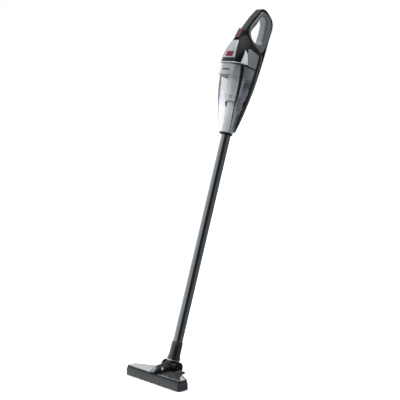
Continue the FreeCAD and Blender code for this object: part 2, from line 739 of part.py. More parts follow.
def front_region():
    """Prism through the front of the body, from an outline seen from the front."""
    face = Part.Face(Part.makePolygon([V(x, -120, h + CUP_MOUTH) for x, h in FRONT_PANEL + FRONT_PANEL[:1]]))
    return face.extrude(V(0, 90, 0)).cut(slider_space(RUN, SLIDER_TRAVEL + 1))


def panel_from(region):
    return body_form(0).cut(body_form(PANEL_T)).common(region).cut(ring_prism(RING_FLANGE + 1, 60))


def body_panels():
    panels = {"front_panel": panel_from(front_region()).cut(cup_button_space(FIT))}
    for side, name in ((1, "right"), (-1, "left")):
        panels["side_panel_" + name] = panel_from(side_region(SIDE_PANEL, side))
        panels["side_wedge_" + name] = panel_from(side_region(SIDE_WEDGE, side))
    return panels


def cup_button_space(grow):
    low, high = BUTTON_HEIGHTS
    half = BUTTON_HALF + grow
    return box((-half, half), (-72, -54), (CUP_MOUTH + low - grow, CUP_MOUTH + high + grow))


def cup_button():
    """Square release button, a little proud of the front panel."""
    front = body_form(-0.8).common(cup_button_space(0))
    return front.cut(body_form(5.0))


def motor_shells(panels):
    outer = body_form(0).common(slab(SHELL_BOTTOM, 320)).cut(ring_prism(RING_FLANGE, 60))
    cavity = body_form(SHELL_WALL).common(slab(0, 265)).cut(ring_prism(RING_FLANGE + SHELL_WALL, 60))
    cover = back_cover(SHELL_BOTTOM, COVER_EDGE[0][1]).cut(body_form(SHELL_WALL))
    frame = frame_form().cut(body_form(SHELL_WALL).common(slab(0, 250))).cut(exhaust_space())
    outer = outer.cut(cavity).fuse(cover).fuse(frame).cut(exhaust_space())
    outer = outer.cut(ring_prism(FIT, 60)).cut(slider_space(0.3, SLIDER_TRAVEL + 1))
    outer = outer.cut(cup_button_space(FIT + 0.2).cut(body_form(9.0)))
    outer = outer.cut(grille_space()).cut(socket_space())
    for panel in panels.values():
        outer = outer.cut(panel)
    return outer


def exhaust_space():
    """Hollow spine behind the battery, through which the air leaves."""
    points = [(36, 213), (61, 213), (66, 262), (36, 262)]
    wire = Part.makePolygon([side_point(*p) for p in points + points[:1]])
    return side_prism(wire, SPINE_HALF - SHELL_WALL)


def grille_space():
    low, high = GRILLE_HEIGHTS
    return box((-GRILLE_HALF, GRILLE_HALF), (GRILLE_Y - 6, 90), (CUP_MOUTH + low, CUP_MOUTH + high))


def exhaust_grille():
    low, high = (CUP_MOUTH + h for h in GRILLE_HEIGHTS)
    frame = box((-GRILLE_HALF, GRILLE_HALF), (GRILLE_Y, GRILLE_Y + 2), (low, high))
    for i in range(5):
        z = low + 2.5 + 4.4 * i
        frame = frame.cut(box((1.5 - GRILLE_HALF, GRILLE_HALF - 1.5), (0, 90), (z, z + 2)))
    return frame


def socket_space():
    return rod(SOCKET_R, (0, 40, CUP_MOUTH + SOCKET_HEIGHT), (0, 90, CUP_MOUTH + SOCKET_HEIGHT))


def charging_socket():
    z = CUP_MOUTH + SOCKET_HEIGHT
    start, end = SOCKET_Y
    return rod(SOCKET_R, (0, start, z), (0, end, z)).cut(rod(PLUG_R, (0, start + 1.5, z), (0, end + 1, z)))


def bulkhead():
    plate = body_form(SHELL_WALL + FIT).common(slab(SHELL_BOTTOM, SHELL_BOTTOM + 2.4))
    return plate.cut(rod(FILTER_R - 4, (0, FILTER_Y, CUP_MOUTH), (0, FILTER_Y, CUP_MOUTH + 260)))


def trim_ring():
    strip = skin(-0.5, 0, SHELL_BOTTOM + 0.6, SHELL_BOTTOM + 3.0)
    return strip.common(box((-80, 80), (-90, -32), (CUP_MOUTH, CUP_MOUTH + 400)))


def fan():
    z = CUP_MOUTH + 216
    disc = rod(FAN_R, (0, MOTOR_Y, z), (0, MOTOR_Y, z + 1.6))
    blades = []
    for i in range(12):
        blade = box((7, FAN_R - 1), (-0.6, 0.6), (z + 1.6, z + 9))
        blade.rotate(V(0, 0, 0), V(0, 0, 1), i * 30)
        blade.translate(V(0, MOTOR_Y, 0))
        blades.append(blade)
    hub = rod(8, (0, MOTOR_Y, z), (0, MOTOR_Y, z + 10))
    bore = rod(SHAFT_R, (0, MOTOR_Y, z - 5), (0, MOTOR_Y, z + 40))
    return disc.fuse(blades).fuse(hub).cut(bore).removeSplitter()


def motor_shaft():
    return rod(SHAFT_R, (0, MOTOR_Y, CUP_MOUTH + 215), (0, MOTOR_Y, CUP_MOUTH + MOTOR_TOP - 1))


def motor_can():
    low, high = CUP_MOUTH + MOTOR_BOTTOM, CUP_MOUTH + MOTOR_TOP
    can = rod(MOTOR_R, (0, MOTOR_Y, low), (0, MOTOR_Y, high)).fuse(
        rod(5, (0, MOTOR_Y, low - 3), (0, MOTOR_Y, low)))
    return can.cut(rod(SHAFT_R + SHAFT_FIT, (0, MOTOR_Y, low - 5), (0, MOTOR_Y, high + 5)))


def motor_mount():
    """Plate between the shells that the motor stands on."""
    plate = body_form(SHELL_WALL + FIT).common(slab(MOTOR_BOTTOM - 3, MOTOR_BOTTOM)).common(
        box((-60, 60), (-55, 1), (CUP_MOUTH, CUP_MOUTH + 300)))
    plate = plate.cut(rod(5, (0, MOTOR_Y, CUP_MOUTH), (0, MOTOR_Y, CUP_MOUTH + 300)))
    for x in (-30, -24, 24, 30):
        plate = plate.cut(rod(2.2, (x, MOTOR_Y, CUP_MOUTH), (x, MOTOR_Y, CUP_MOUTH + 300)))
    return plate


def battery_cells():
    rows = [(11.0, 222.5), (11.0, 241.0), (27.0, 231.7)]
    half = CELL_LENGTH / 2
    cells = [rod(CELL_R, (-half, y, CUP_MOUTH + h), (half, y, CUP_MOUTH + h)) for y, h in rows]
    return Part.makeCompound(cells)


def battery_holder():
    plate = body_form(SHELL_WALL + FIT).common(slab(212, 251, (2.4, 41.5), 22))
    plate = plate.cut(slab(200, 300, (0, 60), 18))
    for cell in battery_cells().Solids:
        plate = plate.cut(cell)
    return plate


def circuit_board():
    return box((-17, 17), (-46.5, -44.9), (CUP_MOUTH + MOTOR_BOTTOM, CUP_MOUTH + 262))


def power_switch():
    block = box((-5, 5), (2.2, 8.2), (8, 24))
    block.rotate(V(0, 0, 0), V(1, 0, 0), -SLIDER_TILT)
    block.translate(V(0, SLIDER_Y, CUP_MOUTH + SLIDER_BOTTOM))
    return block


def build_motor_body():
    panels = body_panels()
    for name, panel in panels.items():
        save(name, panel)
    shells = motor_shells(panels).cut(power_switch())
    save("shell_right", shells.common(box((0, 100), (-200, 200), (CUP_MOUTH, CUP_MOUTH + 500))))
    save("shell_left", shells.common(box((-100, 0), (-200, 200), (CUP_MOUTH, CUP_MOUTH + 500))))
    save("handle_ring", handle_ring())
    save("power_slider", power_slider())
    save("power_switch", power_switch())
    save("cup_button", cup_button())
    save("bulkhead", bulkhead())
    save("trim_ring", trim_ring())
    save("fan", fan())
    save("motor_shaft", motor_shaft())
    save("motor_can", motor_can())
    save("motor_mount", motor_mount())
    save("battery_cells", battery_cells())
    save("battery_holder", battery_holder())
    save("circuit_board", circuit_board())
    save("exhaust_grille", exhaust_grille())
    save("charging_socket", charging_socket())


def lean_back(names):
    """Places the upright pieces on the pivot, leant back from the floor head."""
    place = FreeCAD.Placement(V(0, PIVOT_Y, PIVOT_Z), FreeCAD.Rotation(V(1, 0, 0), -LEAN))
    for name in names:
        BUILT[name] = BUILT[name].transformed(place.toMatrix())


def main():
    build_floor_head()
    upright = len(BUILT)
    build_stick()
    build_dust_cup()
    build_motor_body()
    lean_back(list(BUILT)[upright:])
    os.makedirs("parts", exist_ok=True)
    for name, shape in BUILT.items():
        if not shape.Solids or not shape.isValid():
            print("CHECK", name, "solids", len(shape.Solids), "valid", shape.isValid())
        shape.exportStep("parts/" + name + ".step")
    print(len(BUILT), "nodes")


main()
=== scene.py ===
"""Cordless stick vacuum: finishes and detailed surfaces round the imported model."""
import json
import math

import bmesh
import bpy
import numpy as np
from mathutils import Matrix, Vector


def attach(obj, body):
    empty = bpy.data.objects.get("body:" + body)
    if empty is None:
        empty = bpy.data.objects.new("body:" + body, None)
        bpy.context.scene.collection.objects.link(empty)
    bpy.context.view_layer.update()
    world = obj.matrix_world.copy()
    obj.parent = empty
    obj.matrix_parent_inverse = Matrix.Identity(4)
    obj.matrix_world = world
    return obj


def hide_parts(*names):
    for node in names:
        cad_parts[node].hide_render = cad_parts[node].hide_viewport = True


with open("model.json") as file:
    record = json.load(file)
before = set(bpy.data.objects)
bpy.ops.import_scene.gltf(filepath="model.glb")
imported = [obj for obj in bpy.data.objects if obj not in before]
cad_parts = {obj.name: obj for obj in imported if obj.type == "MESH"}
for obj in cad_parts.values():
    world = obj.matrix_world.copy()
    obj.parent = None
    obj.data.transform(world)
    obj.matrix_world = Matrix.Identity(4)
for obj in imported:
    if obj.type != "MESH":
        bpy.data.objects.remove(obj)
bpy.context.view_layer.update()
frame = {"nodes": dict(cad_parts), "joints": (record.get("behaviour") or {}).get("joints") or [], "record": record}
JOINTS = {joint["name"]: joint for joint in frame["joints"]}
MM = 0.001

# The stick's own frame, mm: across, behind the wand's axis, and up that axis from the pivot
PIVOT = np.array(JOINTS["head_pitch"]["pos_m"]) / MM
ACROSS = np.array([1.0, 0.0, 0.0])
UP = np.array(JOINTS["wand_pull"]["axis"])
BACK = np.array([0.0, UP[2], -UP[1]])

# Floor head, mm
HEAD_HALF = 121.0
HEAD_FRONT = -50.0
HEAD_END_DEPTH = 38.0
SHOULDER = (44.0, 24.0)
TAIL = (33.0, 46.0)
CORNER_R = 7.0
SOLE_BOTTOM = 1.6
BUMPER_WALL = 4.0
BUMPER_SHOULDER = 18.0
BUMPER_TOP = 25.0
COVER_LEAN = 3.0
ARC_STEPS = 9
SIDE_STEPS = 8

# Neck and wand, mm
STUB_R = 14.0
BELL_BOTTOM = 20.0
BELL_R = 20.0
NECK_R = 17.0
STUB_TOP = 44.0
NECK_TOP = 74.0
WAND_R = 15.0
WAND_WALL = 1.2
CUP_MOUTH = 712.0
WAND_INSERT = 40.0

# Hand-held unit: height above the cup's mouth, half width, front, rear, squareness of the section; then, by
# height, the seam between the cup's walls as a distance behind the wand's axis, and the dark stripe's width
SECTIONS = np.array([
    (0.0, 19.5, -21.0, 17.5, 2.0),
    (21.0, 26.0, -33.5, 23.5, 2.4),
    (63.0, 33.5, -46.0, 27.5, 2.8),
    (108.0, 41.0, -57.5, 34.5, 3.0),
    (150.0, 46.0, -64.0, 39.5, 3.0),
    (210.0, 48.0, -66.0, 44.0, 3.0),
    (240.0, 46.5, -62.5, 48.0, 3.0),
    (266.0, 40.0, -57.0, 51.0, 2.8),
    (288.0, 29.0, -51.0, 52.0, 2.6),
    (306.0, 18.0, -45.5, 52.0, 2.4),
])
SEAM = ((0.0, -10.0), (95.0, -32.0), (210.0, -47.0))
STRIPE = ((20.0, 1.5), (70.0, 3.0), (100.0, 6.0), (126.0, 9.0), (165.0, 10.0), (205.0, 11.5))

# Dust cup: its walls and step; the back cover's edge and rib, by height; thumb rest and pull tab
CUP_BOTTOM = 6.0
CUP_TOP = 209.2
CUP_WALL = 2.0
CUP_STEP = 175.0
SPINE = np.array([(14, 24.5), (63, 39.5), (108, 50.0), (145, 57.5), (177, 62.3), (210, 66.3)])
SPINE_HALF = 14.0
SPINE_DROP = np.array([(14.0, 4.0), (13.8, 2.9), (13.2, 1.7), (12.3, 0.8), (11.1, 0.2), (10.0, 0.0),
                       (7.0, -0.2), (3.5, -0.35), (0.0, -0.4)])
COVER = np.array([(14, 9.0), (25, 8.0), (76, 6.0), (125, 8.0), (150, 9.0), (182, 12.0), (205, 14.0),
                  (250, 20.0)])
COVER_BOTTOM = 14.0
COVER_PROUD = 1.4
THUMB_HEIGHT = 100.0
THUMB_REACH = 9.0
THUMB_WIDEN = 5.0
THUMB_PROUD = 0.9
TAB_HEIGHT = 189.0
TAB_REACH = 3.4
TAB_HALF = 16.0
TAB_SHIFT = 3.0

# Filter, on its own axis behind the wand's: basket, its narrow foot, and the paper; hood over the inlet flap
FILTER_BACK = -11.0
FILTER_R = 26.0
BASKET_WALL = 1.5
BASKET_FOOT = 5.5
BASKET_HEIGHTS = (102.5, 120.0, 203.4)
FLUTES = 36
FLUTE_DEPTH = 0.55
PLEATS = 28
PLEAT_R = 21.4
PLEAT_SWING = 2.4
PLEAT_CORE = 15.5
PLEAT_HEIGHTS = (120.3, 202.0)
HOOD_R = 18.5
HOOD_WALL = 1.5
HOOD_BOTTOM = 77.0
HOOD_TOP = 99.5

# Handle, in the plane of symmetry: distance behind the wand's axis, height above the cup's mouth
RING_OUTLINE = [(20, 397), (4.7, 376.2), (-10, 351), (-18.8, 320), (-8.6, 303), (11.4, 288), (35, 275),
                (54, 275), (65, 296), (70, 330), (71.5, 356), (65, 378), (44, 393)]
HOLE_OUTLINE = [(22, 384), (12, 366), (0, 341), (-11, 322), (-6, 309.5), (9, 299.5), (27, 296),
                (41, 302), (46, 320), (47, 345), (45, 366), (35, 380)]
RING_HALF = 16.5
TRIM_HEIGHT = 210.0
TRIM_END = -33.0
TRIM_WALL = 0.3
TRIM_LIFT = np.array([(210.2, 0.0), (210.2, -0.35), (210.6, -0.75), (211.6, -0.9), (212.6, -0.75),
                      (213.0, -0.35), (213.0, 0.0)])
SLIDER_TILT = math.radians(16.5)
SLIDER_BACK = -46.6
SLIDER_BOTTOM = 292.0
SLIDER_LENGTH = 34.0
SLIDER_HALF = 10.5
SLIDER_THICK = 3.2
SLIDER_SUNK = 1.0
GRIP_RIDGES = np.array([9.0, 13.0, 17.0, 21.0, 25.0])
RIDGE_TALL = 0.45
RIDGE_WIDE = 0.9

# CAD pieces that only have their edges rounded, and by how much
EDGES = {
    "shell_right": 0.5, "shell_left": 0.5, "front_panel": 0.35, "side_panel_right": 0.35,
    "side_panel_left": 0.35, "side_wedge_right": 0.35, "side_wedge_left": 0.35, "cup_button": 0.8,
    "wand_button": 1.0, "head_cover": 0.8, "top_plate": 0.4, "neck_bridge": 0.5, "bridge_inlay": 0.4,
    "bridge_caps": 0.4, "foot_pedal": 0.8, "elbow": 0.6, "pivot_caps": 0.6, "neck_latch": 0.5,
    "sole_plate": 0.5, "filter_frame": 0.4, "inlet_sleeve": 0.4, "inlet_duct": 0.4, "inlet_flap": 0.3,
    "exhaust_grille": 0.3, "charging_socket": 0.4,
}

# Wheels and brush of the floor head
WHEEL_X = 62.0
WHEEL_Y = -1.0
WHEEL_R = 7.0
WHEEL_HALF = 4.0
WHEEL_DISH = 0.8
AXLE_R = 1.5
TUFT_Y = -40.5
TUFT_REACH = 93.0
TUFT_STEP = 3.0


# --- materials ------------------------------------------------------------------------------------

def linear(code, alpha=1.0):
    """An sRGB colour such as '1a2b3c' as linear red, green, blue and alpha."""
    part = np.array([int(code[i:i + 2], 16) for i in (0, 2, 4)]) / 255
    part = np.where(part <= 0.04045, part / 12.92, ((part + 0.055) / 1.055) ** 2.4)
    return (*part.tolist(), alpha)


def per_mm(size):
    """Texture scale that gives a pattern this many millimetres across."""
    return 1.0 / (size * MM)


def add(tree, kind, links=(), stops=(), **settings):
    """Adds a shader node with its settings, its own or its inputs' values, its links and its ramp's stops."""
    made = tree.nodes.new("ShaderNode" + kind)
    for name, value in settings.items():
        if hasattr(made, name):
            setattr(made, name, value)
        else:
            made.inputs[name.replace("_", " ")].default_value = value
    for name, output in dict(links).items():
        tree.links.new(output, made.inputs[name])
    for index, (position, colour) in enumerate(stops):
        element = made.color_ramp.elements[index] if index < 2 else made.color_ramp.elements.new(position)
        element.position = position
        element.color = colour
    return made


def start(name, **surface):
    """New material: its nodes, the place its patterns read, and its shader with the uniform values."""
    made = bpy.data.materials.new(name)
    made.use_nodes = True
    tree = made.node_tree
    tree.nodes.clear()
    place = add(tree, "TexCoord").outputs["Object"]
    shader = add(tree, "BsdfPrincipled", **surface)
    add(tree, "OutputMaterial", {"Surface": shader.outputs[0]})
    return made, tree, place, shader


def moulded(name, low, high, gloss, grain, relief, **surface):
    """Injection-moulded plastic: two close colours in broad clouds, gloss that wanders with handling,
    and the mould's grain as fine relief."""
    made, tree, place, shader = start(name, **surface)
    cloud = add(tree, "TexNoise", {"Vector": place}, Scale=per_mm(45), Detail=3.0)
    tint = add(tree, "ValToRGB", {"Fac": cloud.outputs["Fac"]}, [(0.35, linear(low)), (0.65, linear(high))])
    haze = add(tree, "TexNoise", {"Vector": place}, Scale=per_mm(9), Detail=6.0, Roughness=0.65)
    sheen = add(tree, "MapRange", {"Value": haze.outputs["Fac"]}, From_Min=0.3, From_Max=0.7,
                To_Min=gloss[0], To_Max=gloss[1])
    speck = add(tree, "TexNoise", {"Vector": place}, Scale=per_mm(grain), Detail=2.0)
    bump = add(tree, "Bump", {"Height": speck.outputs["Fac"]}, Strength=relief, Distance=0.0002)
    tree.links.new(tint.outputs["Color"], shader.inputs["Base Color"])
    tree.links.new(sheen.outputs["Result"], shader.inputs["Roughness"])
    tree.links.new(bump.outputs["Normal"], shader.inputs["Normal"])
    return made


def lacquered_metal(name, low, high, gloss, flake, relief, **surface):
    """Metal-flake lacquer under clear coat: grains a fraction of a millimetre across that differ in
    brightness, drawn coarser than real flake so that they show."""
    made, tree, place, shader = start(name, **surface)
    grain = add(tree, "TexVoronoi", {"Vector": place}, Scale=per_mm(flake))
    tint = add(tree, "ValToRGB", {"Fac": grain.outputs["Color"]}, [(0.1, linear(low)), (0.9, linear(high))])
    haze = add(tree, "TexNoise", {"Vector": place}, Scale=per_mm(14), Detail=5.0)
    sheen = add(tree, "MapRange", {"Value": haze.outputs["Fac"]}, From_Min=0.3, From_Max=0.7,
                To_Min=gloss[0], To_Max=gloss[1])
    peel = add(tree, "TexNoise", {"Vector": place}, Scale=per_mm(2.5), Detail=1.0)
    bump = add(tree, "Bump", {"Height": peel.outputs["Fac"]}, Strength=relief, Distance=0.0002)
    tree.links.new(tint.outputs["Color"], shader.inputs["Base Color"])
    tree.links.new(sheen.outputs["Result"], shader.inputs["Roughness"])
    tree.links.new(bump.outputs["Normal"], shader.inputs["Normal"])
    return made


def clear_moulding(name, low, high, gloss, **surface):
    """See-through plastic: faint flow marks in its tint, fine handling haze, and lamps shine on through it
    as they do through a real thin wall."""
    made, tree, place, shader = start(name, Transmission_Weight=1.0, **surface)
    flow = add(tree, "TexNoise", {"Vector": place}, Scale=per_mm(30), Detail=2.0)
    tint = add(tree, "ValToRGB", {"Fac": flow.outputs["Fac"]}, [(0.3, linear(low)), (0.7, linear(high))])
    haze = add(tree, "TexNoise", {"Vector": place}, Scale=per_mm(6), Detail=6.0, Roughness=0.7)
    sheen = add(tree, "MapRange", {"Value": haze.outputs["Fac"]}, From_Min=0.4, From_Max=0.75,
                To_Min=gloss[0], To_Max=gloss[1])
    tree.links.new(tint.outputs["Color"], shader.inputs["Base Color"])
    tree.links.new(sheen.outputs["Result"], shader.inputs["Roughness"])
    path = add(tree, "LightPath").outputs["Is Shadow Ray"]
    let = add(tree, "BsdfTransparent", {"Color": tint.outputs["Color"]})
    mixed = add(tree, "MixShader", {0: path, 1: shader.outputs[0], 2: let.outputs[0]})
    output = [n for n in tree.nodes if n.type == "OUTPUT_MATERIAL"][0]
    tree.links.new(mixed.outputs[0], output.inputs["Surface"])
    return made


def turned_steel():
    """Turned steel: bright grey metal, its gloss broken by fine tool marks."""
    made, tree, place, shader = start("turned_steel", Metallic=1.0)
    marks = add(tree, "TexNoise", {"Vector": place}, Scale=per_mm(0.7), Detail=3.0)
    tint = add(tree, "ValToRGB", {"Fac": marks.outputs["Fac"]},
               [(0.3, linear("8f9294")), (0.7, linear("b9bcbe"))])
    sheen = add(tree, "MapRange", {"Value": marks.outputs["Fac"]}, To_Min=0.22, To_Max=0.42)
    tree.links.new(tint.outputs["Color"], shader.inputs["Base Color"])
    tree.links.new(sheen.outputs["Result"], shader.inputs["Roughness"])
    return made


def fibre(name, low, high, size, **surface):
    """Cloth or pile: threads a few tenths of a millimetre across; the colour follows the same noise as the bump,
    so the low places between threads are painted darker (painted shade) and their raised tops lighter (painted
    light).
    """
    made, tree, place, shader = start(name, Roughness=0.9, **surface)
    thread = add(tree, "TexNoise", {"Vector": place}, Scale=per_mm(size), Detail=4.0, Roughness=0.7)
    # painted shade and light: the tint is darkest where the bump below is lowest, between the threads, and
    # lightest on their tops
    tint = add(tree, "ValToRGB", {"Fac": thread.outputs["Fac"]}, [(0.3, linear(low)), (0.7, linear(high))])
    bump = add(tree, "Bump", {"Height": thread.outputs["Fac"]}, Strength=0.5, Distance=0.0003)
    tree.links.new(tint.outputs["Color"], shader.inputs["Base Color"])
    tree.links.new(bump.outputs["Normal"], shader.inputs["Normal"])
    return made


FINISHES = {
    # ABS from a gloss-polished mould: nearly mirror smooth, black with a faint blue cast
    "black_gloss": moulded("polished_black_abs", "0b0d0f", "121416", (0.06, 0.16), 2.5, 0.06, IOR=1.5,
                           Specular_IOR_Level=0.13),
    # glass-filled nylon, polished: a greyer black with a brighter reflection
    "neck_gloss": moulded("polished_black_nylon", "0d0f11", "141618", (0.1, 0.2), 2.5, 0.05, IOR=1.5,
                          Specular_IOR_Level=0.7),
    # ABS from a spark-eroded mould: even matte grain
    "black_matte": moulded("grained_black_abs", "1d1f21", "26292c", (0.42, 0.6), 0.6, 0.5, IOR=1.5),
    # flake lacquer baked on a steel tube: reflects its surroundings as dull metal, so it reads black where
    # they are dark and grey where they are bright
    "wand_lacquer": lacquered_metal("black_lacquered_steel_tube", "6a6f74", "767b80", (0.08, 0.14), 0.5, 0.03,
                                    Metallic=1.0, Coat_Weight=0.4, Coat_Roughness=0.04),
    # soft elastomer: dark grey, with a dull, blurred reflection
    "bumper_grey": moulded("grey_elastomer", "1d2124", "262a2e", (0.16, 0.26), 0.7, 0.12, IOR=1.5,
                           Specular_IOR_Level=0.3),
    # silver flake lacquer over plastic: bright, mirror-like, slightly cool
    "silver_gloss": lacquered_metal("silver_flake_lacquer", "92969a", "aaaeb1", (0.06, 0.14), 0.45, 0.02,
                                    Metallic=0.9, Coat_Weight=0.4, Coat_Roughness=0.03),
    # the same lacquer laid thinner over dark plastic, worn satin by the hand
    "loop_lacquer": lacquered_metal("grey_flake_lacquer", "64686b", "6c7073", (0.24, 0.36), 0.45, 0.03,
                                    Metallic=0.6, Coat_Weight=0.3, Coat_Roughness=0.12),
    # the silver lacquer again, matted
    "panel_lacquer": lacquered_metal("silver_flake_lacquer_satin", "777b7e", "85898c", (0.22, 0.34), 0.45,
                                     0.03, Metallic=0.8, Coat_Weight=0.3, Coat_Roughness=0.1),
    # three greys of moulded plastic: satin, so edges catch the light but faces stay even
    "light_grey": moulded("light_grey_abs", "a6aaab", "b7bbbc", (0.28, 0.42), 0.8, 0.25, IOR=1.5),
    "frame_grey": moulded("grey_polypropylene", "74797c", "83888b", (0.35, 0.5), 0.8, 0.2, IOR=1.49),
    "mid_grey": moulded("mid_grey_satin_abs", "5a5e61", "65696d", (0.25, 0.4), 0.8, 0.2, IOR=1.5),
    # tinted ABS: light sinks a little way in, so the red reads deep and dull
    "red_plastic": moulded("crimson_tinted_abs", "400a18", "4a0d1c", (0.34, 0.46), 1.2, 0.1, IOR=1.5,
                           Specular_IOR_Level=0.3, Subsurface_Weight=0.15, Subsurface_Scale=0.004),
    # the button's clear crimson: fuller in colour, with hardly any white reflection
    "button_red": moulded("crimson_gloss_abs", "580318", "60041b", (0.26, 0.36), 1.2, 0.06, IOR=1.5,
                          Specular_IOR_Level=0.12),
    # vulcanised rubber: matte, with the mould's fine tooth
    "rubber": moulded("black_rubber", "17181a", "202224", (0.6, 0.8), 0.5, 0.5, IOR=1.52),
    # styrene blow-moulded clear, and the same with smoke tint: sharp reflections over what lies inside
    "clear_plastic": clear_moulding("clear_styrene", "f4f6f7", "fdfdfd", (0.01, 0.05), IOR=1.49),
    "smoke_plastic": clear_moulding("smoked_styrene", "c9ced5", "d5d9df", (0.06, 0.16), IOR=1.49),
    "steel": turned_steel(),
    # drawn nylon, woven pile and folded paper: matte, with threads that show as fine light and dark: painted shade
    # in the low places between the threads and painted light on their tops
    "bristle": fibre("nylon_bristle", "101112", "2c2e30", 0.5),
    "velvet": fibre("red_lint_velvet", "4d0d16", "8a1c2a", 0.4, Sheen_Weight=0.6),
    "filter_cloth": fibre("pleated_filter_paper", "c9cac6", "e6e6e2", 0.5),
    # inside pieces: satin nylon, glossy shrunk film, glossy lacquer on a circuit board
    "fan_plastic": moulded("white_nylon", "c5c6c3", "d8d9d6", (0.35, 0.5), 0.8, 0.2),
    "battery_wrap": moulded("blue_shrink_sleeve", "1b4a80", "2a5f9c", (0.12, 0.25), 3.0, 0.3),
    "board": moulded("green_solder_mask", "0d4a26", "15602f", (0.2, 0.35), 1.0, 0.3),
}
SLOT_OF = {part["node"]: part["material_slot"] for part in frame["record"]["subparts"]}
OWN_FINISH = {"handle_ring": "loop_lacquer", "front_panel": "panel_lacquer", "filter_frame": "frame_grey",
              "bridge_inlay": "mid_grey", "cup_button": "button_red", "neck_socket": "neck_gloss"}
BODY_OF = {node: body for body, members in frame["record"]["behaviour"]["bodies"].items() for node in members}

for node_name, cad in frame["nodes"].items():
    cad.data.materials.clear()
    cad.data.materials.append(FINISHES[OWN_FINISH.get(node_name, SLOT_OF[node_name])])


# --- making surfaces ------------------------------------------------------------------------------

def leaned(across, back, height):
    """Points of the stick's own frame, mm, as places in the part's frame, m."""
    across, back, height = np.broadcast_arrays(across, back, height)
    return (PIVOT + across[..., None] * ACROSS + back[..., None] * BACK + height[..., None] * UP) * MM


def flat(x, y, z):
    """Points of the part's frame, mm, in metres."""
    return np.stack(np.broadcast_arrays(x, y, z), -1) * MM


def cubic(t, gap, low, high, leave, arrive):
    """Cubic between two values with given slopes at its ends, while t goes from 0 to 1 over the gap."""
    return ((2 * t ** 3 - 3 * t ** 2 + 1) * low + (t ** 3 - 2 * t ** 2 + t) * gap * leave
            + (3 * t ** 2 - 2 * t ** 3) * high + (t ** 3 - t ** 2) * gap * arrive)


def through(table, at):
    """Values between a table's rows, which are (key, values...): on each stretch the cubic whose slope at a
    row is that of the parabola through the row and its neighbours."""
    key, values = table[:, 0], table[:, 1:]
    slope = np.gradient(values, key, axis=0)
    row = np.clip(np.searchsorted(key, at, side="right") - 1, 0, len(key) - 2)
    gap = (key[row + 1] - key[row])[..., None]
    t = (np.asarray(at) - key[row])[..., None] / gap
    return cubic(t, gap, values[row], values[row + 1], slope[row], slope[row + 1])


def closed_curve(corners, count):
    """Closed cubic through the corners with no break in its bend, at equal steps of its own length."""
    points = np.array(corners, float)
    chord = np.linalg.norm(np.roll(points, -1, 0) - points, axis=1)
    before = np.roll(chord, 1)
    size = len(points)
    matrix = np.diag(2 / before + 2 / chord)
    step = np.arange(size)
    matrix[step, (step - 1) % size] += 1 / before
    matrix[step, (step + 1) % size] += 1 / chord
    rise = 3 * ((points - np.roll(points, 1, 0)) / before[:, None] ** 2
                + (np.roll(points, -1, 0) - points) / chord[:, None] ** 2)
    slope = np.linalg.solve(matrix, rise)
    key = np.concatenate([[0], np.cumsum(chord)])
    at = np.linspace(0, key[-1], 20 * size, endpoint=False)
    row = np.searchsorted(key, at, side="right") - 1
    t = ((at - key[row]) / chord[row])[:, None]
    after = (row + 1) % size
    fine = cubic(t, chord[row, None], points[row], points[after], slope[row], slope[after])
    fine = np.vstack([fine, fine[:1]])
    length = np.concatenate([[0], np.cumsum(np.linalg.norm(np.diff(fine, axis=0), axis=1))])
    want = np.linspace(0, length[-1], count, endpoint=False)
    return np.stack([np.interp(want, length, fine[:, i]) for i in (0, 1)], -1)


def quads(rows, cols, round_rows=False, round_cols=False):
    """Corner numbers of a grid's faces, joined end to end where the grid closes on itself."""
    r, c = np.meshgrid(np.arange(rows - (not round_rows)), np.arange(cols - (not round_cols)),
                       indexing="ij")
    r2, c2 = (r + 1) % rows, (c + 1) % cols
    return np.stack([r * cols + c, r * cols + c2, r2 * cols + c2, r2 * cols + c], -1).reshape(-1, 4)


def shaped(name, points, faces):
    """Points and faces put into a mesh that faces outwards, with doubles merged."""
    mesh = bpy.data.meshes.new(name)
    mesh.from_pydata(np.reshape(points, (-1, 3)).tolist(), [], [list(face) for face in faces])
    work = bmesh.new()
    work.from_mesh(mesh)
    bmesh.ops.remove_doubles(work, verts=work.verts, dist=1e-6)
    bmesh.ops.recalc_face_normals(work, faces=work.faces)
    work.to_mesh(mesh)
    work.free()
    return mesh


def placed(name, mesh, body, finish, sharp):
    """An object of the mesh on its body, smooth but for edges sharper than an angle in degrees."""
    mesh.polygons.foreach_set("use_smooth", np.ones(len(mesh.polygons), bool))
    mesh.set_sharp_from_angle(angle=math.radians(sharp))
    mesh.materials.append(FINISHES[finish])
    made = bpy.data.objects.new(name, mesh)
    bpy.context.scene.collection.objects.link(made)
    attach(made, body)
    return made


def stand_in(name, node, mesh, bevel, sharp):
    """The mesh in its CAD node's place, its sharp edges rounded by a bevel in mm."""
    made = placed(name, mesh, BODY_OF[node], OWN_FINISH.get(node, SLOT_OF[node]), sharp)
    if bevel:
        rounding = made.modifiers.new("edges", "BEVEL")
        rounding.width = bevel * MM
        rounding.segments = 2
        rounding.limit_method = "ANGLE"
        rounding.angle_limit = math.radians(sharp)
        rounding.harden_normals = True
    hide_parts(node)
    return made


def piece(name, node, points, faces, bevel=0.0, sharp=35.0):
    """A computed surface in its CAD node's place."""
    return stand_in(name, node, shaped(name, points, faces), bevel, sharp)


def detail(name, body, slot, points, faces, sharp):
    """A computed surface with no CAD node of its own."""
    return placed(name, shaped(name, points, faces), body, slot, sharp)


